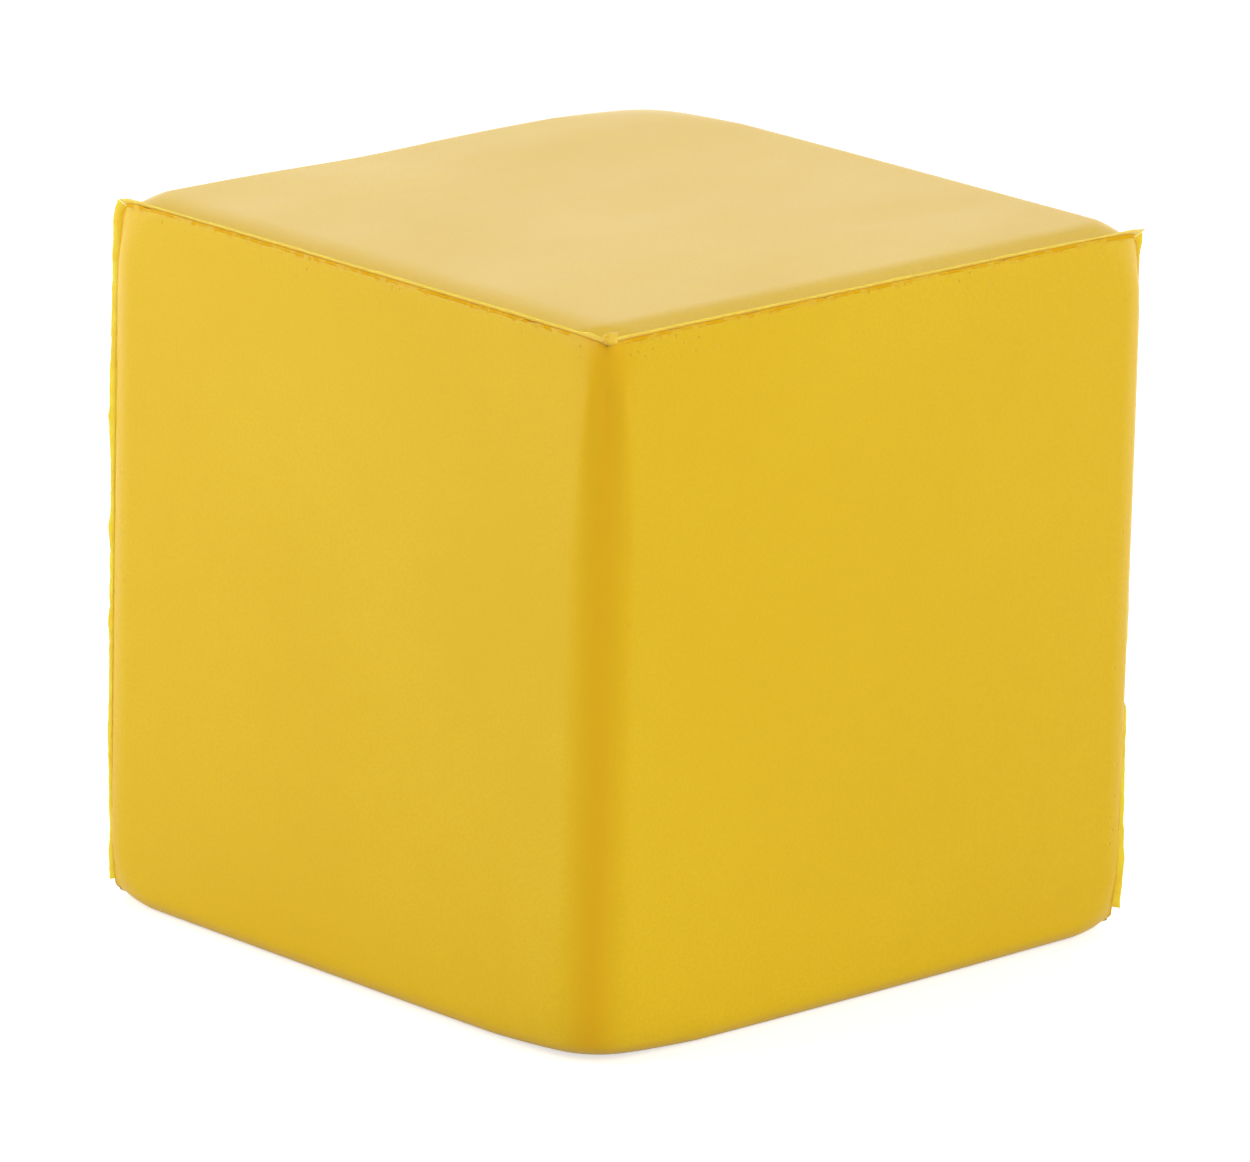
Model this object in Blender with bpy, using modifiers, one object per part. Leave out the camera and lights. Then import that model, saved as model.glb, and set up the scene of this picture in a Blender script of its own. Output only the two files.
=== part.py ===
"""Foam stress cube, built as its real pieces. Metres, +Z up, origin at the middle of the base.

The cube is moulded from soft polyurethane foam in a two-part mould that opens along a body
diagonal, so six of its twelve edges carry the parting line. Three faces meet at the low front
corner (+X, -Y, -Z) and form the front half of the moulding; the other three meet at the high
back corner (-X, +Y, +Z) and form the back half. A thin fin of flash stands on each parting edge.

Squeezing presses the top down by PRESS_TRAVEL. The foam core is therefore held as two blocks,
split at the height that the pressed top comes down to.
"""
import math

import bmesh
import bpy
from mathutils import Matrix, Vector

# Driving dimensions
SIZE = Vector((0.0594, 0.0600, 0.0600))  # over the flat faces
SKIN = 0.0008  # dense outer skin with its colour coat
GAP = 0.0003  # clearance between neighbouring pieces
MOULD_RADIUS = 0.0045  # edges inside one mould half
PARTING_RADIUS = 0.0018  # edges on the parting line
FLASH_THICKNESS = 0.0004
FLASH_SET_BACK = 0.0003  # fin tip to the sharp edge that the two faces would make
PRESS_TRAVEL = 0.0240
STUB_RADIUS = 0.0006  # cut-off vent stub at the front top corner
STUB_LENGTH = 0.0010
STUB_SET_BACK = 0.0009
EDGE_SEGMENTS = 6
SHARP_ANGLE = math.radians(60)
STUB_SIDES = 16

# Worked out from them
CENTRE = Vector((0, 0, SIZE.z / 2))
CORE_INSET = SKIN + GAP
FLASH_SLOT = FLASH_THICKNESS + 2 * GAP  # between the skins along the parting line
FLASH_DEPTH = PARTING_RADIUS * (2**0.5 - 1) + CORE_INSET - GAP  # fin root to the sharp edge
LOWER_FOAM_TOP = SIZE.z - PRESS_TRAVEL - CORE_INSET
STUB_ROOM = STUB_RADIUS + 3 * GAP  # flash cut away each side of the stub

# Directions of the two corners that the mould halves are centred on
FRONT_CORNER = Vector((1, -1, -1))
BACK_CORNER = -FRONT_CORNER
TOP, BOTTOM = Vector((0, 0, 1)), Vector((0, 0, -1))
RIGHT, LEFT = Vector((1, 0, 0)), Vector((-1, 0, 0))
BACK, FRONT = Vector((0, 1, 0)), Vector((0, -1, 0))
FACES = {"top": TOP, "base": BOTTOM, "right": RIGHT, "left": LEFT, "back": BACK, "front": FRONT}

# Corners along the parting line
FRONT_TOP = Vector((1, -1, 1))
LEFT_TOP, LEFT_LOW = Vector((-1, -1, 1)), Vector((-1, -1, -1))
RIGHT_TOP, RIGHT_LOW = Vector((1, 1, 1)), Vector((1, 1, -1))
BACK_LOW = Vector((-1, 1, -1))

YELLOW_SKIN = (0.76, 0.50, 0.055)
YELLOW_FOAM = (0.80, 0.60, 0.16)
YELLOW_FLASH = (0.78, 0.46, 0.035)


def clear_scene():
    """Remove what a new file starts with."""
    for thing in list(bpy.data.objects):
        bpy.data.objects.remove(thing)


def new_collection(name):
    """A collection in the scene."""
    made = bpy.data.collections.new(name)
    bpy.context.scene.collection.children.link(made)
    return made


def new_material(name, colour, roughness):
    """A plain Principled material."""
    made = bpy.data.materials.new(name)
    made.use_nodes = True
    shader = made.node_tree.nodes["Principled BSDF"]
    shader.inputs["Base Color"].default_value = (*colour, 1)
    shader.inputs["Roughness"].default_value = roughness
    shader.inputs["Metallic"].default_value = 0
    return made


def new_object(name, shape, collection, material=None):
    """Turn a bmesh into an object."""
    mesh = bpy.data.meshes.new(name)
    shape.to_mesh(mesh)
    shape.free()
    made = bpy.data.objects.new(name, mesh)
    collection.objects.link(made)
    if material:
        mesh.materials.append(material)
    return made


def hide_cutter(cutter):
    """Show a cutter as wire only."""
    cutter.hide_render = True
    cutter.display_type = "WIRE"
    return cutter


def subtract(piece, cutter):
    """Cut one object from another with a live Boolean."""
    cut = piece.modifiers.new(f"cut_{cutter.name}", "BOOLEAN")
    cut.operation = "DIFFERENCE"
    cut.solver = "EXACT"
    cut.object = cutter


def scaled(direction, size):
    """A corner direction stretched to a block of this size, from the block's centre."""
    return Vector(d * s / 2 for d, s in zip(direction, size))


def add_rounding(block, name, limit, width):
    """A live bevel on some of a block's edges."""
    rounding = block.modifiers.new(name, "BEVEL")
    rounding.limit_method = limit
    rounding.angle_limit = SHARP_ANGLE
    rounding.width = width
    rounding.segments = EDGE_SEGMENTS
    rounding.use_clamp_overlap = False


def rounded_block(name, inset, collection, material=None):
    """The cube's outer form, set in by a distance.

    The edges inside the mould halves are rounded first, and the parting edges after them, so
    that the small radius runs round each corner of the faces.
    """
    shape = bmesh.new()
    bmesh.ops.create_cube(shape, size=1)
    weights = shape.edges.layers.float.new("bevel_weight_edge")
    mould_corners = (FRONT_CORNER / 2, BACK_CORNER / 2)
    for edge in shape.edges:
        ends = [v.co for v in edge.verts]
        edge[weights] = any(end == corner for end in ends for corner in mould_corners)
    bmesh.ops.scale(shape, vec=SIZE - Vector((2 * inset,) * 3), verts=shape.verts)
    bmesh.ops.translate(shape, vec=CENTRE, verts=shape.verts)
    block = new_object(name, shape, collection, material)
    add_rounding(block, "mould_edges", "WEIGHT", MOULD_RADIUS - inset)
    add_rounding(block, "parting_edges", "ANGLE", PARTING_RADIUS - inset)
    return block


def face_wedge(name, face, collection):
    """Pyramid from the cube's centre out through one face, grown by half of each gap.

    Its sides grow by half the flash slot towards the two neighbours in the other mould half,
    and by half the clearance towards the two in its own half.
    """
    own_corner = FRONT_CORNER if face.dot(FRONT_CORNER) > 0 else BACK_CORNER
    across = -(own_corner - face * face.dot(own_corner))
    grow_out = (FLASH_SLOT / 2 + GAP / 2) / 2**0.5
    grow_across = (FLASH_SLOT / 2 - GAP / 2) / 2**0.5
    shape = bmesh.new()
    bmesh.ops.create_cube(shape, size=1)
    bmesh.ops.scale(shape, vec=SIZE * 2, verts=shape.verts)
    inner = [v for v in shape.verts if v.co.dot(face) < 0]
    bmesh.ops.pointmerge(shape, verts=inner, merge_co=Vector((0, 0, 0)))
    shift = CENTRE - face * grow_out + across * grow_across
    bmesh.ops.translate(shape, vec=shift, verts=shape.verts)
    return hide_cutter(new_object(f"{name}_wedge", shape, collection))


def flat_cutter(name, low, high, collection):
    """A wide block between two heights."""
    shape = bmesh.new()
    bmesh.ops.create_cube(shape, size=1)
    bmesh.ops.scale(shape, vec=(SIZE.x * 2, SIZE.y * 2, high - low), verts=shape.verts)
    bmesh.ops.translate(shape, vec=(0, 0, (low + high) / 2), verts=shape.verts)
    return hide_cutter(new_object(name, shape, collection))


def skin_piece(name, own_faces, wedges, hollow, collection, material):
    """The part of the skin that covers some of the faces."""
    piece = rounded_block(name, 0, collection, material)
    for face, wedge in wedges.items():
        if face not in own_faces:
            subtract(piece, wedge)
    subtract(piece, hollow)
    return piece


def foam_piece(name, cutter, collection, material):
    """One block of the foam core."""
    piece = rounded_block(name, CORE_INSET, collection, material)
    subtract(piece, cutter)
    return piece


def flash_strip(name, start, end, trim_start, trim_end, collection, material):
    """The fin on one parting edge: a thin strip at 45 degrees, mitred at both ends.

    A trim is what is cut from an end beyond the mitre.
    """
    first, last = scaled(start, SIZE), scaled(end, SIZE)
    along = (last - first).normalized()
    outward = (start + end).normalized()
    across = outward.cross(along)
    half_length = (last - first).length / 2
    shape = bmesh.new()
    bmesh.ops.create_cube(shape, size=2)
    for vertex in shape.verts:
        depth = FLASH_SET_BACK if vertex.co.z > 0 else FLASH_DEPTH
        trim = trim_end if vertex.co.x > 0 else trim_start
        reach = half_length - depth / 2**0.5 - trim
        vertex.co = (vertex.co.x * reach, vertex.co.y * FLASH_THICKNESS / 2, -depth)
    turn = Matrix((along, across, outward)).transposed().to_4x4()
    place = Matrix.Translation(CENTRE + (first + last) / 2) @ turn
    bmesh.ops.transform(shape, matrix=place, verts=shape.verts)
    return new_object(name, shape, collection, material)


def vent_stub(name, collection, material):
    """The stub of foam left in the mould's vent, trimmed off at the front top corner."""
    outward = FRONT_TOP.normalized()
    shape = bmesh.new()
    bmesh.ops.create_cone(
        shape, cap_ends=True, segments=STUB_SIDES, radius1=STUB_RADIUS,
        radius2=STUB_RADIUS * 0.8, depth=STUB_LENGTH,
    )
    turn = TOP.rotation_difference(outward).to_matrix().to_4x4()
    middle = CENTRE + scaled(FRONT_TOP, SIZE) - outward * (STUB_SET_BACK + STUB_LENGTH / 2)
    bmesh.ops.transform(shape, matrix=Matrix.Translation(middle) @ turn, verts=shape.verts)
    return new_object(name, shape, collection, material)


def build():
    """Make every piece of the cube."""
    clear_scene()
    parts = new_collection("foam_stress_cube")
    cutters = new_collection("cutters")
    skin = new_material("skin", YELLOW_SKIN, 0.62)
    foam = new_material("foam", YELLOW_FOAM, 0.95)
    flash = new_material("flash", YELLOW_FLASH, 0.75)

    hollow = hide_cutter(rounded_block("hollow", SKIN, cutters))
    wedges = {name: face_wedge(name, face, cutters) for name, face in FACES.items()}
    above = flat_cutter("above_split", LOWER_FOAM_TOP, SIZE.z * 2, cutters)
    below = flat_cutter("below_split", -SIZE.z, LOWER_FOAM_TOP + GAP, cutters)

    skin_piece("top_skin", ["top"], wedges, hollow, parts, skin)
    skin_piece("front_skin", ["front", "right"], wedges, hollow, parts, skin)
    skin_piece("back_skin", ["back", "left"], wedges, hollow, parts, skin)
    skin_piece("base_skin", ["base"], wedges, hollow, parts, skin)

    foam_piece("lower_foam", above, parts, foam)
    foam_piece("upper_foam", below, parts, foam)

    flash_strip("top_left_flash", LEFT_TOP, FRONT_TOP, GAP, STUB_ROOM, parts, flash)
    flash_strip("top_right_flash", FRONT_TOP, RIGHT_TOP, STUB_ROOM, GAP, parts, flash)
    flash_strip("left_flash", LEFT_LOW, LEFT_TOP, GAP, GAP, parts, flash)
    flash_strip("right_flash", RIGHT_LOW, RIGHT_TOP, GAP, GAP, parts, flash)
    flash_strip("base_left_flash", BACK_LOW, LEFT_LOW, GAP, GAP, parts, flash)
    flash_strip("base_right_flash", RIGHT_LOW, BACK_LOW, GAP, GAP, parts, flash)
    vent_stub("vent_stub", parts, flash)


build()
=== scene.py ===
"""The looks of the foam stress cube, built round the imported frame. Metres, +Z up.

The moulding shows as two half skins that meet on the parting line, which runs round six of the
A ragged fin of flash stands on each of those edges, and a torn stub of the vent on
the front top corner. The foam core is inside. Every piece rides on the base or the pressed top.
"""
import math
from collections import Counter

import bmesh
import bpy
import numpy as np
from mathutils import Matrix, Vector, noise


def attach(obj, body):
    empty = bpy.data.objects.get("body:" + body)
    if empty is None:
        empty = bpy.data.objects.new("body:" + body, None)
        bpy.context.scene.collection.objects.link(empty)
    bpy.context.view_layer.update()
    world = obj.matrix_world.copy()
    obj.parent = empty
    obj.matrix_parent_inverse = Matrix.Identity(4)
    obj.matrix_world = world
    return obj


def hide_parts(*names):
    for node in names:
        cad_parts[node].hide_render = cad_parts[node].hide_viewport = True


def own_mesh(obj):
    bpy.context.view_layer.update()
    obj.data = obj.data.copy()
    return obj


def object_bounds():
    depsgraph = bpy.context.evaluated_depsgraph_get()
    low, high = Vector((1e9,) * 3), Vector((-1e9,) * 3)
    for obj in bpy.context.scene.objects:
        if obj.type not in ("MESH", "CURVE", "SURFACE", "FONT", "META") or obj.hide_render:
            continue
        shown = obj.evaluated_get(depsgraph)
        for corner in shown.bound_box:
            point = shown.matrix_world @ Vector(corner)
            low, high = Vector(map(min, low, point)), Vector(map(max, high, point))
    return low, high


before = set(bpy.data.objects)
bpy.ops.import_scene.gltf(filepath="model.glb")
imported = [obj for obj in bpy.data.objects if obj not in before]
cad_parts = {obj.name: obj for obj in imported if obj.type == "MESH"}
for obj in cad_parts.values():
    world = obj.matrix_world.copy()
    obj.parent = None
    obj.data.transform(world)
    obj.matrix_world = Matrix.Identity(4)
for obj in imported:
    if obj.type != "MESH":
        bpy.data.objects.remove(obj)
CAD_LOW, CAD_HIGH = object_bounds()

MM = 0.001
CENTRE = (CAD_LOW + CAD_HIGH) / 2
HALF = (CAD_HIGH - CAD_LOW) / 2

# The mould opens along this diagonal. The front half has the faces that meet at FRONT_CORNER.
FRONT_CORNER = Vector((1, -1, -1))
BACK_CORNER = -FRONT_CORNER
PARTING_EDGES = {  # each from its first corner to its last
    "top_left": ((-1, -1, 1), (1, -1, 1)),
    "top_right": ((1, -1, 1), (1, 1, 1)),
    "left": ((-1, -1, -1), (-1, -1, 1)),
    "right": ((1, 1, -1), (1, 1, 1)),
    "base_left": ((-1, 1, -1), (-1, -1, -1)),
    "base_right": ((1, 1, -1), (-1, 1, -1)),
}

# Rounding of the moulding
UPRIGHT_MOULD_RADIUS = 4.0 * MM  # edges inside one half
LEVEL_MOULD_RADIUS = 1.8 * MM
MOULD_CORNER_RADIUS = 6.8 * MM
LEVEL_PARTING_RADIUS = 0.30 * MM
LEFT_PARTING_RADIUS = 0.30 * MM
RIGHT_PARTING_RADIUS = 0.45 * MM
PARTING_CORNER_RADIUS = 3.0 * MM
VENT_CORNER_RADIUS = 1.2 * MM
RADIUS_BLEND = 2.0 * MM  # how far one radius reaches into the next
MOULD_CORNER_REACH = 12.5 * MM  # how far round each corner the surface is evened out
PARTING_CORNER_REACH = 5 * MM
EVEN_ROUNDS = 90

# Skin shells
SKIN_THICKNESS = 0.8 * MM
# painted shade along the rounded upright edges inside a half reaches this far each side
EDGE_SHADE_WIDTH = 4.5 * MM  # each side of a stretched edge
EDGE_ZONE = 6.0 * MM  # finely divided strip beside each edge
EDGE_STEP = 0.3 * MM
FACE_DIVISIONS = 80  # across the rest of a face
SEAM_TRIM = 0.13 * MM  # keeps a rim clear of the seam plane
SEAM_TEAR = 0.22 * MM  # most that a torn rim draws back
SEAM_SHIFT = 0.11 * MM  # how far the fins along the top sit back from the sharp edge

# Faults of a real moulding, all measured inwards
SHOULDER_WIDTH = {"front": 2.6 * MM, "back": 4.7 * MM}  # shrunk strip beside the parting line
SHOULDER_DEPTH = {  # at the parting edges across x, y and z
    "front": Vector((0.50, 0.54, 0.04)) * MM,
    "back": Vector((0.55, 0.45, 0.15)) * MM,
}
SHOULDER_BEND = {"front": (0, 0, 0), "back": (0.62, 0.35, 0)}  # share of it that is straight
SEAM_SHADE_WIDTH = 5.0 * MM
WAVE_DEPTH = 0.05 * MM
WAVE_LENGTH = 28 * MM
RIPPLE_DEPTH = 0.004 * MM
RIPPLE_LENGTH = 2.6 * MM
SAG_PLACE = Vector((-1, -0.13, 1))  # on the left top edge, as a share of HALF
SAG_DEPTH = 0.22 * MM
SAG_REACH = 9 * MM
LEAN_DEPTH = 0.12 * MM  # how far the right upright edge draws in at its foot
LEAN_REACH = 14 * MM

# Camera, fitted to the photograph's perspective
CAMERA_AZIMUTH = math.radians(46.84)
CAMERA_ELEVATION = math.radians(15.89)
CAMERA_ROLL = math.radians(1.38)
CAMERA_DISTANCE = 0.8782
CAMERA_AIM_OFF = Vector((-0.264, 1.162)) * MM  # the cube's centre from the middle of the view
CAMERA_LENS = 308.7  # on a 36 mm sensor


def smooth(share):
    """Ease from 0 to 1."""
    share = min(1.0, max(0.0, share))
    return share * share * (3 - 2 * share)


def wander(point, length, seed):
    """Smooth noise from -1 to 1 that changes over about this length."""
    return noise.noise(point / length + Vector((seed * 7.3, seed * 3.1, seed * 5.7)))


def level(points, share):
    """Height of an outline at a share of its length, from (share, height) points."""
    for (x0, y0), (x1, y1) in zip(points, points[1:]):
        if share <= x1:
            return y0 + (y1 - y0) * smooth((share - x0) / (x1 - x0))
    return points[-1][1]


# ---------------------------------------------------------------- materials


class Nodes:
    """A short way to write a node tree."""

    def __init__(self, tree):
        self.tree = tree

    def add(self, kind, **settings):
        """A node, with its properties set."""
        node = self.tree.nodes.new(kind)
        for name, value in settings.items():
            setattr(node, name, value)
        return node

    def link(self, source, target):
        """Join an output socket to an input socket."""
        self.tree.links.new(source, target)

    def feed(self, socket, value):
        """Set a socket from another socket or from a value."""
        if isinstance(value, bpy.types.NodeSocket):
            self.link(value, socket)
        else:
            socket.default_value = value

    def attribute(self, name):
        """A value kept on the mesh."""
        return self.add("ShaderNodeAttribute", attribute_name=name)

    def noise(self, place, scale, detail=3.0, rough=0.55, stretch=None):
        """Noise from 0 to 1."""
        if stretch:
            mapping = self.add("ShaderNodeMapping")
            mapping.inputs["Scale"].default_value = stretch
            self.link(place, mapping.inputs["Vector"])
            place = mapping.outputs["Vector"]
        node = self.add("ShaderNodeTexNoise")
        node.inputs["Scale"].default_value = scale
        node.inputs["Detail"].default_value = detail
        node.inputs["Roughness"].default_value = rough
        self.link(place, node.inputs["Vector"])
        return node.outputs["Fac"]

    def specks(self, place, scale, size):
        """Scattered round spots: 1 in a spot and 0 between them."""
        node = self.add("ShaderNodeTexVoronoi", feature="F1")
        node.inputs["Scale"].default_value = scale
        self.link(place, node.inputs["Vector"])
        return self.span(node.outputs["Distance"], size, size * 0.4)

    def span(self, value, low, high, out_low=0.0, out_high=1.0):
        """A value mapped from one range to another, held inside it."""
        node = self.add("ShaderNodeMapRange", interpolation_type="SMOOTHSTEP")
        for name, given in (
            ("Value", value), ("From Min", low), ("From Max", high),
            ("To Min", out_low), ("To Max", out_high),
        ):
            self.feed(node.inputs[name], given)
        return node.outputs["Result"]

    def math(self, operation, a, b=0.0):
        """One sum."""
        node = self.add("ShaderNodeMath", operation=operation)
        self.feed(node.inputs[0], a)
        self.feed(node.inputs[1], b)
        return node.outputs["Value"]

    def mix(self, share, a, b):
        """A colour between two."""
        node = self.add("ShaderNodeMix", data_type="RGBA")
        self.feed(node.inputs["Factor"], share)
        self.feed(node.inputs[6], a)
        self.feed(node.inputs[7], b)
        return node.outputs[2]

    def bump(self, height, depth, strength=1.0, below=None):
        """A bump of this depth, on top of another."""
        node = self.add("ShaderNodeBump")
        node.inputs["Strength"].default_value = strength
        node.inputs["Distance"].default_value = depth
        self.link(height, node.inputs["Height"])
        if below:
            self.link(below, node.inputs["Normal"])
        return node.outputs["Normal"]


def new_material(name, roughness, ior, sheen=0.0, sheen_roughness=0.4):
    """A Principled material, and what builds its nodes."""
    made = bpy.data.materials.new(name)
    made.use_nodes = True
    shader = made.node_tree.nodes["Principled BSDF"]
    shader.inputs["Roughness"].default_value = roughness
    shader.inputs["IOR"].default_value = ior
    shader.inputs["Sheen Weight"].default_value = sheen
    shader.inputs["Sheen Roughness"].default_value = sheen_roughness
    return made, Nodes(made.node_tree), shader


YELLOW = (0.745, 0.480, 0.0030, 1)
YELLOW_PALE = (0.765, 0.503, 0.0060, 1)
YELLOW_DEEP = (0.700, 0.432, 0.0010, 1)
# painted shade: a deeper, darker orange for the rounded upright edges inside each half
YELLOW_EDGE_SHADE = (0.770, 0.430, 0.0005, 1)
ORANGE_PORE = (0.740, 0.385, 0.0010, 1)
FLASH_YELLOW = (0.840, 0.545, 0.0260, 1)
FLASH_ORANGE = (0.760, 0.440, 0.0080, 1)
# painted highlight: a paler colour for the lip of the fins along the top
FLASH_LIP_HIGHLIGHT = (0.750, 0.490, 0.0850, 1)
FOAM_CREAM = (0.800, 0.600, 0.160, 1)
# painted shade in the sunk hollows of the foam core
FOAM_PIT_SHADE = (0.560, 0.340, 0.050, 1)


def skin_material():
    """The moulded skin: a satin yellow with fine grain, faint mottling and open pores, and painted shade
    along the rounded upright edges.
    """
    made, nodes, shader = new_material("moulded_skin", 0.32, 1.31, sheen=0.04)
    place = nodes.attribute("rest_place").outputs["Vector"]
    seam = nodes.attribute("seam").outputs["Fac"]
    fold = nodes.attribute("fold").outputs["Fac"]

    mottle = nodes.span(nodes.noise(place, 45, 3), 0.35, 0.7)
    colour = nodes.mix(mottle, YELLOW, YELLOW_PALE)
    speckle = nodes.noise(place, 3600, 2)
    colour = nodes.mix(nodes.span(speckle, 0.3, 0.7, 0.0, 0.5), colour, YELLOW_DEEP)
    # painted shade along the rounded upright edges inside each half
    colour = nodes.mix(fold, colour, YELLOW_EDGE_SHADE)
    depth = nodes.span(nodes.noise(place, 420, 0), 0.4, 0.8, 0.0, 0.12)
    colour = nodes.mix(depth, colour, YELLOW_DEEP)

    pore_zone = nodes.span(nodes.noise(place, 160, 2), 0.48, 0.62)
    pores = nodes.math("MULTIPLY", nodes.specks(place, 1100, 0.20), pore_zone)
    pores = nodes.math("MULTIPLY", pores, nodes.span(seam, 0.25, 0.75, 0.0, 0.7))
    torn = nodes.span(nodes.noise(place, 1300, 3), 0.5, 0.66)
    torn = nodes.math("MULTIPLY", torn, nodes.span(seam, 0.94, 0.985))
    broken = nodes.math("MAXIMUM", pores, torn)
    lip = nodes.math("MULTIPLY", nodes.attribute("front").outputs["Fac"], nodes.span(seam, 0.980, 0.990))
    lip = nodes.math("MULTIPLY", lip, nodes.span(nodes.noise(place, 900, 3), 0.38, 0.6, 0.25, 1.0))
    broken = nodes.math("MAXIMUM", broken, lip)
    colour = nodes.mix(broken, colour, ORANGE_PORE)
    nodes.link(colour, shader.inputs["Base Color"])

    polish = nodes.noise(place, 110, 4, stretch=(1.0, 0.35, 1.0))
    rough = nodes.span(polish, 0.3, 0.75, 0.30, 0.35)
    nodes.link(nodes.math("MAXIMUM", rough, broken), shader.inputs["Roughness"])

    grain = nodes.bump(nodes.noise(place, 2600, 3, 0.5), 0.006 * MM)
    wide = nodes.bump(nodes.noise(place, 420, 1), 0.008 * MM, below=grain)
    sunk = nodes.math("SUBTRACT", 1.0, broken)
    nodes.link(nodes.bump(sunk, 0.06 * MM, below=wide), shader.inputs["Normal"])
    return made


def flash_material(name, glow):
    """Thin flash or torn foam: a deeper orange, with a ragged matt surface, and a painted highlight on
    the fins along the top.
    """
    made, nodes, shader = new_material(name, 0.42, 1.45, sheen=0.15)
    shader.inputs["Subsurface Weight"].default_value = glow
    shader.inputs["Subsurface Radius"].default_value = (1.0, 0.6, 0.1)
    shader.inputs["Subsurface Scale"].default_value = 1.0 * MM
    place = nodes.attribute("rest_place").outputs["Vector"]
    patches = nodes.span(nodes.noise(place, 500, 4), 0.38, 0.68)
    colour = nodes.mix(patches, FLASH_YELLOW, FLASH_ORANGE)
    # painted highlight on the fins along the top, most on their upper side
    colour = nodes.mix(nodes.attribute("pale").outputs["Fac"], colour, FLASH_LIP_HIGHLIGHT)
    nodes.link(colour, shader.inputs["Base Color"])
    rough = nodes.span(nodes.noise(place, 900, 2), 0.3, 0.7, 0.38, 0.52)
    nodes.link(rough, shader.inputs["Roughness"])
    coarse = nodes.bump(nodes.noise(place, 1800, 4), 0.03 * MM)
    nodes.link(coarse, shader.inputs["Normal"])
    return made


def foam_material():
    """The open-celled core: pale cells with painted shade in the sunk hollows."""
    made, nodes, shader = new_material("open_cell_foam", 0.9, 1.4)
    place = nodes.attribute("rest_place").outputs["Vector"]
    cells = nodes.specks(place, 700, 0.5)
    # painted shade: the sunk hollows are coloured darker
    colour = nodes.mix(cells, FOAM_CREAM, FOAM_PIT_SHADE)
    nodes.link(colour, shader.inputs["Base Color"])
    rough = nodes.span(nodes.noise(place, 300, 3), 0.3, 0.7, 0.82, 0.98)
    nodes.link(rough, shader.inputs["Roughness"])
    sunk = nodes.math("SUBTRACT", 1.0, cells)
    nodes.link(nodes.bump(sunk, 0.3 * MM), shader.inputs["Normal"])
    return made


FLOOR_GLOW = 0.62  # makes the floor show white without lighting the cube
FLOOR_SHINE = 1.8  # the same in the cube's reflections, of the floor behind it only


def floor_material():
    """A plain pale studio surface that glows white to the camera, and glows brighter behind the cube for
    the cube's reflections only, as a painted reflection.
    """
    made, nodes, shader = new_material("pale_floor", 0.8, 1.2)
    place = nodes.add("ShaderNodeTexCoord").outputs["Object"]
    tone = nodes.noise(place, 30, 3)
    colour = nodes.mix(tone, (0.72, 0.72, 0.72, 1), (0.74, 0.74, 0.74, 1))
    nodes.link(colour, shader.inputs["Base Color"])
    shader.inputs["Emission Color"].default_value = (1, 1, 1, 1)
    behind = nodes.add("ShaderNodeVectorMath", operation="DOT_PRODUCT")
    nodes.link(place, behind.inputs[0])
    a = CAMERA_AZIMUTH - math.radians(6)
    behind.inputs[1].default_value = (-math.sin(a), math.cos(a), 0)
    # painted reflection: the floor glows for glossy rays only, brighter behind the cube
    shine = nodes.span(behind.outputs["Value"], -0.02, 0.11, 0.2, FLOOR_SHINE)
    path = nodes.add("ShaderNodeLightPath")
    shine = nodes.math("MULTIPLY", path.outputs["Is Glossy Ray"], shine)
    glow = nodes.math("MULTIPLY", path.outputs["Is Camera Ray"], FLOOR_GLOW)
    glow = nodes.math("ADD", glow, shine)
    nodes.link(glow, shader.inputs["Emission Strength"])
    return made


# ---------------------------------------------------------------- mesh helpers


SHARP_ANGLE = math.radians(40)


def new_piece(name, verts, faces, material, **shares):
    """A closed mesh object that keeps where its points rest, and more shares for its material."""
    mesh = bpy.data.meshes.new(name)
    mesh.from_pydata(verts, [], faces)
    shape = bmesh.new()
    shape.from_mesh(mesh)
    bmesh.ops.recalc_face_normals(shape, faces=shape.faces)
    shape.to_mesh(mesh)
    shape.free()
    mesh.shade_smooth()
    mesh.set_sharp_from_angle(angle=SHARP_ANGLE)
    places = mesh.attributes.new("rest_place", "FLOAT_VECTOR", "POINT")
    places.data.foreach_set("vector", [c for v in verts for c in v])
    for share, values in shares.items():
        mesh.attributes.new(share, "FLOAT", "POINT").data.foreach_set("value", values)
    mesh.materials.append(material)
    piece = bpy.data.objects.new(name, mesh)
    bpy.context.scene.collection.objects.link(piece)
    return piece


def ride_squeezed(piece, body, slot, *nodes):
    """A piece that rides on a body and stands for CAD nodes, which it hides."""
    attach(piece, body)
    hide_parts(*nodes)
    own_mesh(piece)


# ---------------------------------------------------------------- the moulding's form


def is_front(axis, sign):
    """Whether the face on this side of an axis belongs to the front half."""
    return FRONT_CORNER[axis] == sign


def corner_gaps(point):
    """Distance from a point to the nearer face plane on each axis."""
    return [HALF[i] - abs(point[i]) for i in range(3)]


def edge_radius(point):
    """Rounding radius at a point of the sharp box, blended from the edges and corner near it."""
    gaps = corner_gaps(point)
    fronts = [is_front(i, math.copysign(1, point[i])) for i in range(3)]
    total = weight = 0.0
    for i, j in ((0, 1), (1, 2), (0, 2)):
        upright = (i, j) == (0, 1)
        if fronts[i] == fronts[j]:
            radius = UPRIGHT_MOULD_RADIUS if upright else LEVEL_MOULD_RADIUS
        elif upright:
            radius = LEFT_PARTING_RADIUS if point.x < 0 else RIGHT_PARTING_RADIUS
        else:
            radius = LEVEL_PARTING_RADIUS
        share = 1 / (math.hypot(gaps[i], gaps[j]) + RADIUS_BLEND) ** 3
        total += share * radius
        weight += share
    if len(set(fronts)) == 1:
        corner = MOULD_CORNER_RADIUS
    elif point.x > 0 > point.y and point.z > 0:
        corner = VENT_CORNER_RADIUS
    else:
        corner = PARTING_CORNER_RADIUS
    share = 3 / (math.hypot(*gaps) + RADIUS_BLEND) ** 3
    return (total + share * corner) / (weight + share)


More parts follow.
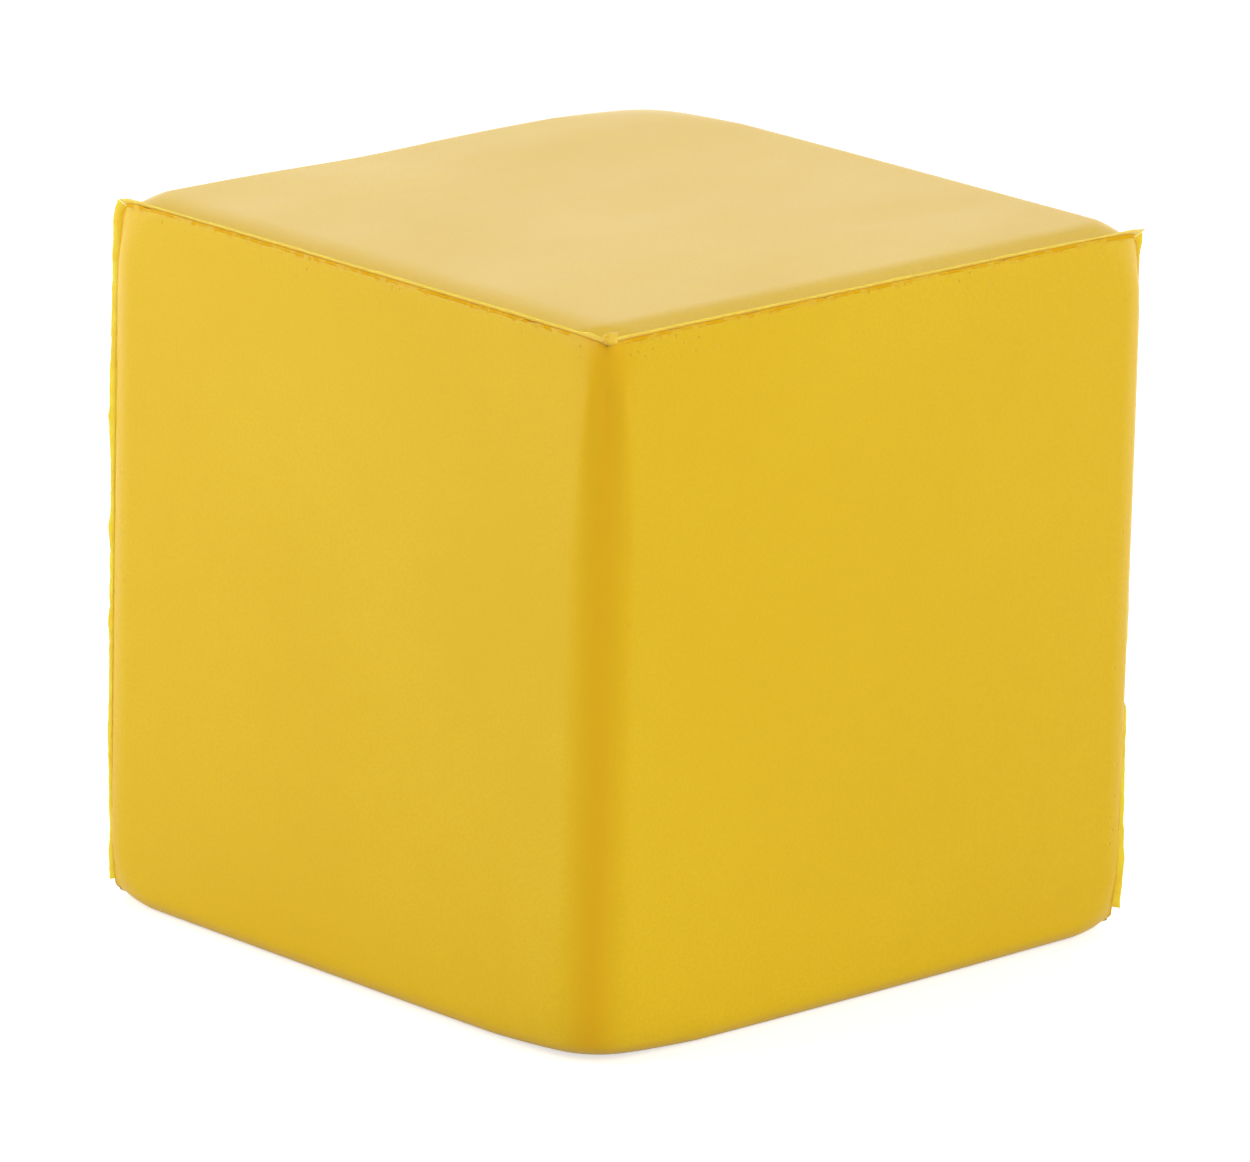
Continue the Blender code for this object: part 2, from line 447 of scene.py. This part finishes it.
def seam_distance(point, corner):
    """Distance over the faces of one half from a point to the parting line."""
    return min(HALF[i] + corner[i] * point[i] for i in range(3))


def sloped(away, straight):
    """Fall from 1 to 0 as away goes from 0 to 1: straight at first, then levelling out."""
    if away >= 1:
        return 0.0
    if away < straight:
        return 1 - 2 * away / (1 + straight)
    return (1 - away) ** 2 / (1 - straight * straight)


def shoulder_depth(point, side, corner):
    """How far the strip beside the parting line has drawn in at a point."""
    left_over = total = weight = 0.0
    for i in range(3):
        away = (HALF[i] + corner[i] * point[i]) / SHOULDER_WIDTH[side]
        share = sloped(away, SHOULDER_BEND[side][i])
        left_over = 1 - (1 - left_over) * (1 - share)
        total += share * SHOULDER_DEPTH[side][i]
        weight += share
    return left_over * total / weight if weight else 0.0


def sunk_depth(point, side, corner, distance):
    """How far the moulding has drawn in from the ideal form at a point."""
    shoulder = shoulder_depth(point, side, corner)
    wave = WAVE_DEPTH * (0.5 + 0.5 * wander(point, WAVE_LENGTH, 1))
    ripple = RIPPLE_DEPTH * wander(point, RIPPLE_LENGTH, 2)
    sag_place = Vector(s * h for s, h in zip(SAG_PLACE, HALF))
    sag = SAG_DEPTH * math.exp(-((point - sag_place).length / SAG_REACH) ** 2)
    foot = smooth((HALF.z - point.z) / (2 * HALF.z)) ** 2
    away = math.hypot(HALF.x - point.x, HALF.y - point.y)
    lean = LEAN_DEPTH * foot * math.exp(-(away / LEAN_REACH) ** 2)
    edge_fade = smooth(distance / (3 * MM))
    return shoulder + wave * (0.4 + 0.6 * edge_fade) + ripple * edge_fade + sag + lean


def surface(point, side, corner):
    """(inner centre, outward direction, radius) of the moulding over a point of the box."""
    radius = edge_radius(point)
    inner = Vector(
        max(-h + radius, min(h - radius, c)) for c, h in zip(point, HALF)
    )
    outward = (point - inner).normalized()
    distance = seam_distance(point, corner)
    return inner, outward, radius - sunk_depth(point, side, corner, distance)


def fold_share(point):
    """1 along the rounded upright edges inside a half, where the skin gets painted shade."""
    fronts = [is_front(i, math.copysign(1, point[i])) for i in range(2)]
    if fronts[0] != fronts[1]:
        return 0.0
    gaps = corner_gaps(point)
    return smooth(1 - (gaps[0] + gaps[1]) / EDGE_SHADE_WIDTH)


def stations(axis, corner):
    """Grid lines along an axis, from the parting end to the half's own corner."""
    half = HALF[axis]
    fine = [EDGE_STEP * k for k in range(round(EDGE_ZONE / EDGE_STEP))]
    middle_step = 2 * (half - EDGE_ZONE) / FACE_DIVISIONS
    middle = [EDGE_ZONE + middle_step * k for k in range(FACE_DIVISIONS + 1)]
    last = [2 * half - f for f in reversed(fine)]
    return [corner[axis] * (s - half) for s in fine + middle + last]


def rim_trim(point, side, axis):
    """How far a rim stands back from the sharp edge, more where the seam is torn."""
    if side == "back":
        return SEAM_TRIM + SEAM_SHIFT
    torn = wander(point, 1.3 * MM, 5) + 0.5 * wander(point, 0.5 * MM, 6)
    patches = 0.5 + 0.5 * wander(point, 9 * MM, 7)
    shift = SEAM_SHIFT if axis == 2 else 0
    return SEAM_TRIM - shift + SEAM_TEAR * smooth(1.6 * torn * patches)


def half_skin(name, side, corner, material):
    """One half of the moulding's skin: three faces of the cube as a closed shell."""
    lines = [stations(i, corner) for i in range(3)]
    last = len(lines[0]) - 1
    outer, inwards, seam, fold, index = [], [], [], [], {}
    for key in shell_keys(last):
        point = Vector(lines[i][key[i]] for i in range(3))
        for i in range(3):
            if key[i] == 0:
                point[i] = -corner[i] * (HALF[i] - rim_trim(point, side, i))
        centre, outward, radius = surface(point, side, corner)
        index[key] = len(outer)
        outer.append(CENTRE + centre + outward * radius)
        inwards.append(-outward * SKIN_THICKNESS)
        near = seam_distance(point, corner) / SEAM_SHADE_WIDTH
        seam.append(1 - smooth(near))
        # share of painted shade along the rounded upright edges
        fold.append(fold_share(point))
    sheet = [ring for axis in range(3) for ring in face_grid(axis, last, last, index)]
    count = len(outer)
    edges = border(sheet)
    moved = evened(outer, sheet, edges, corner)
    outer = [Vector(m) for m in moved]
    inner = [place + inward for place, inward in zip(outer, inwards)]
    lining = [[count + v for v in ring] for ring in sheet]
    rim = [[a, b, count + b, count + a] for a, b in edges]
    return new_piece(
        name, outer + inner, sheet + lining + rim, material,
        seam=seam * 2, fold=fold * 2, front=[float(side == "front")] * (2 * count),
    )


def evened(points, sheet, rim, corner):
    """A half's outer surface with its folds near the cube's corners evened out, its rim held."""
    spots = np.array([tuple(p) for p in points])
    share = np.zeros(len(spots))
    for signs in ((x, y, z) for x in (-1, 1) for y in (-1, 1) for z in (-1, 1)):
        place = CENTRE + Vector(s * h for s, h in zip(signs, HALF))
        reach = MOULD_CORNER_REACH if Vector(signs) == corner else PARTING_CORNER_REACH
        away = np.linalg.norm(spots - np.array(place), axis=1)
        share = np.maximum(share, np.clip(1.5 - 1.5 * away / reach, 0, 1))
    share[np.unique(rim)] = 0
    ends = np.array([pair for ring in sheet for pair in zip(ring, ring[1:] + ring[:1])])
    ends = np.unique(np.vstack((ends, ends[:, ::-1])), axis=0)
    ends = ends[share[ends[:, 0]] > 0]
    uses = np.maximum(np.bincount(ends[:, 0], minlength=len(spots)), 1)
    for _ in range(EVEN_ROUNDS):
        for axis in range(3):
            total = np.bincount(ends[:, 0], spots[ends[:, 1], axis], minlength=len(spots))
            spots[:, axis] += 0.6 * share * np.where(share > 0, total / uses - spots[:, axis], 0)
    return spots


def face_grid(axis, end, last, index):
    """The quads of one face of a box grid, where the address on the axis is end."""
    a, b = [i for i in range(3) if i != axis]
    for m in range(last):
        for n in range(last):
            ring = []
            for step_m, step_n in ((0, 0), (1, 0), (1, 1), (0, 1)):
                key = [end] * 3
                key[a], key[b] = m + step_m, n + step_n
                ring.append(index[tuple(key)])
            yield ring


def border(faces):
    """The edges that only one face uses."""
    uses = Counter(
        tuple(sorted(pair)) for ring in faces for pair in zip(ring, ring[1:] + ring[:1])
    )
    return [edge for edge, used in uses.items() if used == 1]


def shell_keys(last):
    """Grid addresses on the three faces that meet at the half's own corner, each once."""
    span = range(last + 1)
    for i in span:
        for j in span:
            if i == last or j == last:
                for k in span:
                    yield i, j, k
            else:
                yield i, j, last


# ---------------------------------------------------------------- flash and vent stub

FIN_ROOT = 0.45 * MM  # how deep the fin starts below the skin
FIN_HALF_THICKNESS = 0.075 * MM
FIN_STEP = 0.3 * MM
FIN_PROFILE = ((0.0, 1.0), (0.4, 0.95), (0.7, 0.8), (0.9, 0.55), (1.0, 0.2))
FIN_END_GAP = 0.01 * MM
MITRED_GAP = 1.0 * MM  # an end cut back by more than this has no mitre
FIN_ENDS = {  # what is cut from each end, beyond the mitre
    "top_left": (FIN_END_GAP, FIN_END_GAP + SEAM_SHIFT),
    "top_right": (FIN_END_GAP + SEAM_SHIFT, FIN_END_GAP),
    "left": (1.6 * MM, FIN_END_GAP),
    "right": (1.9 * MM, FIN_END_GAP),
    "base_left": (FIN_END_GAP, 3.0 * MM),
    "base_right": (3.0 * MM, FIN_END_GAP),
}

# Each fin's outline: how far its tip stands in from the sharp edge, in mm, along its length
FIN_OUTLINES = {
    "left": ((0, 0.42), (0.04, 0.32), (0.08, 0.40), (0.12, 0.27), (0.24, 0.15), (0.36, 0.20),
             (0.395, 0.05), (0.42, 0.18), (0.50, 0.16), (0.53, 0.02), (0.56, 0.15), (0.62, 0.14),
             (0.68, 0.0), (0.69, -0.10), (0.705, 0.02), (0.74, 0.0), (0.80, 0.07), (0.92, 0.12),
             (0.965, 0.15), (0.98, 0.26), (1, 0.50)),
    "right": ((0, 0.42), (0.05, 0.28), (0.077, 0.18), (0.095, 0.28), (0.14, 0.37), (0.28, 0.47),
              (0.305, 0.50), (0.325, 0.76), (0.45, 0.62), (0.60, 0.74), (0.80, 0.72),
              (0.97, 0.78), (0.985, 0.62), (1, 0.66)),
    "top_left": ((0, 0.55), (0.012, 0.35), (0.04, -0.10), (0.5, -0.27), (0.9, -0.27), (0.955, -0.20),
                 (0.975, -0.55), (0.988, -0.40), (1, -0.10)),
    "top_right": ((0, -0.10), (0.03, -0.20), (0.3, -0.22), (0.7, -0.20), (0.96, -0.05),
                  (1, 0.35)),
    "base_left": ((0, 0.5), (0.05, 0.35), (0.5, 0.30), (0.95, 0.35), (1, 0.5)),
    "base_right": ((0, 0.5), (0.05, 0.35), (0.5, 0.40), (0.95, 0.35), (1, 0.5)),
}
FIN_LEAN = {"left": 0.32 * MM, "right": -0.30 * MM}  # at the tip, over the back half
FIN_RAGGED = {"left": 0.05 * MM, "right": 0.05 * MM, "top_left": 0.06 * MM}
FIN_RAGGED_ELSE = 0.035 * MM


def seam_root(along_point, corner):
    """Where the parting line lies on the moulding's surface, beside a point of a sharp edge."""
    centre, outward, radius = surface(along_point, "front", corner)
    return centre + outward * radius


def flash_fin(edge, material):
    """The ragged fin on one parting edge, mitred at both ends."""
    first, last = (Vector(c * h for c, h in zip(e, HALF)) for e in PARTING_EDGES[edge])
    along = (last - first).normalized()
    middle = (first + last) / 2
    outward = Vector(round(c) for c in (middle.x / HALF.x, middle.y / HALF.y,
                                        middle.z / HALF.z)).normalized()
    across = outward.cross(along)
    half_length = (last - first).length / 2
    count = round(2 * half_length / FIN_STEP)
    ragged = FIN_RAGGED.get(edge, FIN_RAGGED_ELSE)
    end_gaps = FIN_ENDS[edge]
    on_top = edge.startswith("top")
    shift = SEAM_SHIFT if on_top else 0
    verts, faces, pale = [], [], []
    for k in range(count + 1):
        share = k / count
        sharp = first.lerp(last, share)
        root = (seam_root(sharp, FRONT_CORNER) - sharp).dot(-outward) + FIN_ROOT
        tip = level(FIN_OUTLINES[edge], share) * MM
        tip += ragged * (wander(sharp, 1.1 * MM, 11) + 0.6 * wander(sharp, 0.45 * MM, 12))
        lean = FIN_LEAN.get(edge, 0) + 0.06 * MM * wander(sharp, 5 * MM, 13)
        ring = []
        for sign, steps in ((1, FIN_PROFILE), (-1, FIN_PROFILE[::-1])):
            for rise, thickness in steps:
                depth = root + (tip - root) * rise
                end_gap = end_gaps[share > 0.5]
                mitre = max(depth, 0) / 2**0.5 if end_gap < MITRED_GAP else depth * 0.25
                reach = half_length - mitre - end_gap
                offset = sign * thickness * FIN_HALF_THICKNESS + lean * rise * rise + shift
                place = (middle + along * (2 * share - 1) * reach - outward * depth
                         + across * offset)
                ring.append(len(verts))
                verts.append(CENTRE + place)
                # painted highlight on the fins along the top, most on the side that faces up
                pale.append(on_top * (0.75 + 0.25 * sign))  # most on the side that faces up
        if k:
            for m, a in enumerate(ring):
                b = ring[(m + 1) % len(ring)]
                faces.append([a, b, b - len(ring), a - len(ring)])
        else:
            faces.append(ring[:])
    faces.append(ring[::-1])
    return new_piece(f"{edge}_flash_fin", verts, faces, material, pale=pale)


STUB_CENTRE = Vector((0.02, 0.36, 0.18)) * MM  # from the sharp front top corner
STUB_SIZE = Vector((0.55, 0.66, 0.50)) * MM  # along the cut, across it and up
STUB_CUT = 0.7  # where the knife went through, as a share of its length
STUB_RINGS = 20
STUB_SIDES = 32


def vent_stub(material):
    """The torn stub of foam in the vent: a knobbly lump with a flat cut across it."""
    corner = CENTRE + Vector((HALF.x, -HALF.y, HALF.z))
    outward = Vector((1, -0.4, 0.3)).normalized()
    across = Vector((0, 0, 1)).cross(outward).normalized()
    up = outward.cross(across)
    verts, faces = [], []
    for ring in range(STUB_RINGS + 1):
        polar = math.pi * ring / STUB_RINGS
        for side in range(STUB_SIDES):
            turn = 2 * math.pi * side / STUB_SIDES
            flat = math.sin(polar)
            way = Vector((math.cos(polar), flat * math.cos(turn), flat * math.sin(turn)))
            size = 1 + 0.30 * wander(way, 0.8, 21) + 0.12 * wander(way, 0.3, 22)
            cut = min(way.x * size, STUB_CUT)
            place = outward * cut * STUB_SIZE.x
            place += across * way.y * size * STUB_SIZE.y + up * way.z * size * STUB_SIZE.z
            verts.append(corner + STUB_CENTRE + place)
    for ring in range(STUB_RINGS):
        for side in range(STUB_SIDES):
            a = ring * STUB_SIDES + side
            b = ring * STUB_SIDES + (side + 1) % STUB_SIDES
            faces.append([a, a + STUB_SIDES, b + STUB_SIDES, b])
    # the stub gets none of the fins' painted highlight
    return new_piece("torn_vent_stub", verts, faces, material, pale=[0.0] * len(verts))


# ---------------------------------------------------------------- foam core

CORE_GAP = 0.4 * MM  # between the core and the skins
CORE_STEP = 1.2 * MM
CORE_RADIUS = 3.2 * MM
CELL_LENGTH = 3.0 * MM
CELL_DEPTH = 0.5 * MM


def foam_core(material):
    """The block of open-celled foam inside the skins, with a pitted surface."""
    half = HALF - Vector((SKIN_THICKNESS + CORE_GAP,) * 3)
    count = round(2 * min(half) / CORE_STEP)
    verts, index, faces = [], {}, []
    span = range(count + 1)
    for key in ((i, j, k) for i in span for j in span for k in span):
        if not any(c in (0, count) for c in key):
            continue
        box_point = Vector(h * (2 * c / count - 1) for c, h in zip(key, half))
        inner = Vector(max(-h + CORE_RADIUS, min(h - CORE_RADIUS, c))
                       for c, h in zip(box_point, half))
        outward = (box_point - inner).normalized()
        pit = CELL_DEPTH * abs(wander(box_point, CELL_LENGTH, 31))
        index[key] = len(verts)
        depth = pit + max(SHOULDER_DEPTH["back"]) + WAVE_DEPTH
        verts.append(CENTRE + inner + outward * (CORE_RADIUS - depth))
    for axis in range(3):
        for end in (0, count):
            faces += face_grid(axis, end, count, index)
    return new_piece("foam_core", verts, faces, material)


# ---------------------------------------------------------------- studio


def add_camera():
    """The camera where the photograph was taken from."""
    a, e, r = CAMERA_AZIMUTH, CAMERA_ELEVATION, CAMERA_ROLL
    right = Vector((math.cos(a), math.sin(a), 0))
    back = Vector((math.sin(a) * math.cos(e), -math.cos(a) * math.cos(e), math.sin(e)))
    up = back.cross(right)
    x = right * math.cos(r) + up * math.sin(r)
    y = up * math.cos(r) - right * math.sin(r)
    data = bpy.data.cameras.new("photo_camera")
    data.lens = CAMERA_LENS
    data.sensor_width = 36
    data.clip_start = 0.01
    data.clip_end = 20
    camera = bpy.data.objects.new("photo_camera", data)
    place = CENTRE + back * CAMERA_DISTANCE - x * CAMERA_AIM_OFF.x - y * CAMERA_AIM_OFF.y
    turn = Matrix((x, y, back)).transposed().to_4x4()
    camera.matrix_world = Matrix.Translation(place) @ turn
    bpy.context.scene.collection.objects.link(camera)
    bpy.context.scene.camera = camera


def add_softbox(name, azimuth, elevation, distance, size, power):
    """A square soft light aimed at the cube. Azimuth is turned from the camera's side."""
    data = bpy.data.lights.new(name, "AREA")
    data.shape = "SQUARE"
    data.size = size
    data.energy = power
    light = bpy.data.objects.new(name, data)
    a = CAMERA_AZIMUTH + math.radians(azimuth)
    e = math.radians(elevation)
    way = Vector((math.sin(a) * math.cos(e), -math.cos(a) * math.cos(e), math.sin(e)))
    light.location = CENTRE + way * distance
    light.rotation_euler = way.to_track_quat("Z", "Y").to_euler()
    light.visible_camera = False
    bpy.context.scene.collection.objects.link(light)


TENT_BACK = 1.68  # low wall behind the cube
TENT_SIDES = 0.85
TENT_ROOF = 0.16
TENT_OPENING = 0.20  # where the camera looks in


def add_world():
    """A white light tent, brightest low at the back and open on the camera's side.

    It is plain white to look at.
    """
    world = bpy.data.worlds.new("light_tent")
    world.use_nodes = True
    nodes = Nodes(world.node_tree)
    world.node_tree.nodes.clear()
    way = nodes.add("ShaderNodeTexCoord").outputs["Generated"]
    height = nodes.add("ShaderNodeSeparateXYZ")
    nodes.link(way, height.inputs["Vector"])
    facing = nodes.add("ShaderNodeVectorMath", operation="DOT_PRODUCT")
    nodes.link(way, facing.inputs[0])
    a = CAMERA_AZIMUTH
    facing.inputs[1].default_value = (math.sin(a), -math.cos(a), 0)
    towards = facing.outputs["Value"]
    wall = nodes.span(towards, -0.75, -0.15, TENT_BACK, TENT_SIDES)
    wall = nodes.span(towards, 0.15, 0.85, wall, TENT_OPENING)
    light = nodes.span(height.outputs["Z"], 0.30, 0.48, wall, TENT_ROOF)
    seen = nodes.add("ShaderNodeLightPath").outputs["Is Camera Ray"]
    background = nodes.add("ShaderNodeBackground")
    background.inputs["Color"].default_value = (1, 1, 1, 1)
    nodes.link(nodes.math("MAXIMUM", light, seen), background.inputs["Strength"])
    output = nodes.add("ShaderNodeOutputWorld")
    nodes.link(background.outputs["Background"], output.inputs["Surface"])
    bpy.context.scene.world = world


FLOOR_RADIUS = 1.5


def add_floor():
    """A wide round floor under the cube."""
    sides = 96
    verts = [
        (FLOOR_RADIUS * math.cos(2 * math.pi * k / sides),
         FLOOR_RADIUS * math.sin(2 * math.pi * k / sides), CAD_LOW.z)
        for k in range(sides)
    ]
    mesh = bpy.data.meshes.new("studio_floor")
    mesh.from_pydata(verts, [], [range(sides)])
    mesh.materials.append(floor_material())
    floor = bpy.data.objects.new("studio_floor", mesh)
    bpy.context.scene.collection.objects.link(floor)


def add_studio():
    """Floor, light and camera."""
    bpy.context.scene.view_settings.view_transform = "Standard"
    add_camera()
    add_world()
    add_floor()
    add_softbox("left_softbox", -80, 20, 0.35, 0.30, 0.69)
    add_softbox("front_softbox", 20, 27, 0.90, 0.50, 2.5)
    add_softbox("right_softbox", 70, 25, 0.90, 0.70, 2.95)
    add_softbox("roof_softbox", 180, 75, 1.00, 0.80, 3.6)


def build():
    """Make and attach every piece."""
    add_studio()
    skin, foam = skin_material(), foam_material()
    flash, torn = flash_material("flash_foam", 0.8), flash_material("torn_foam", 0.1)
    front = half_skin("front_half_skin", "front", FRONT_CORNER, skin)
    ride_squeezed(front, "base", "skin", "front_skin", "base_skin")
    back = half_skin("back_half_skin", "back", BACK_CORNER, skin)
    ride_squeezed(back, "pressed_top", "skin", "back_skin", "top_skin")
    for edge in PARTING_EDGES:
        fin = flash_fin(edge, flash)
        body = "pressed_top" if edge.startswith("top") else "base"
        ride_squeezed(fin, body, "flash", f"{edge}_flash")
    ride_squeezed(vent_stub(torn), "pressed_top", "flash", "vent_stub")
    core = foam_core(foam)
    ride_squeezed(core, "base", "foam", "lower_foam", "upper_foam")


build()
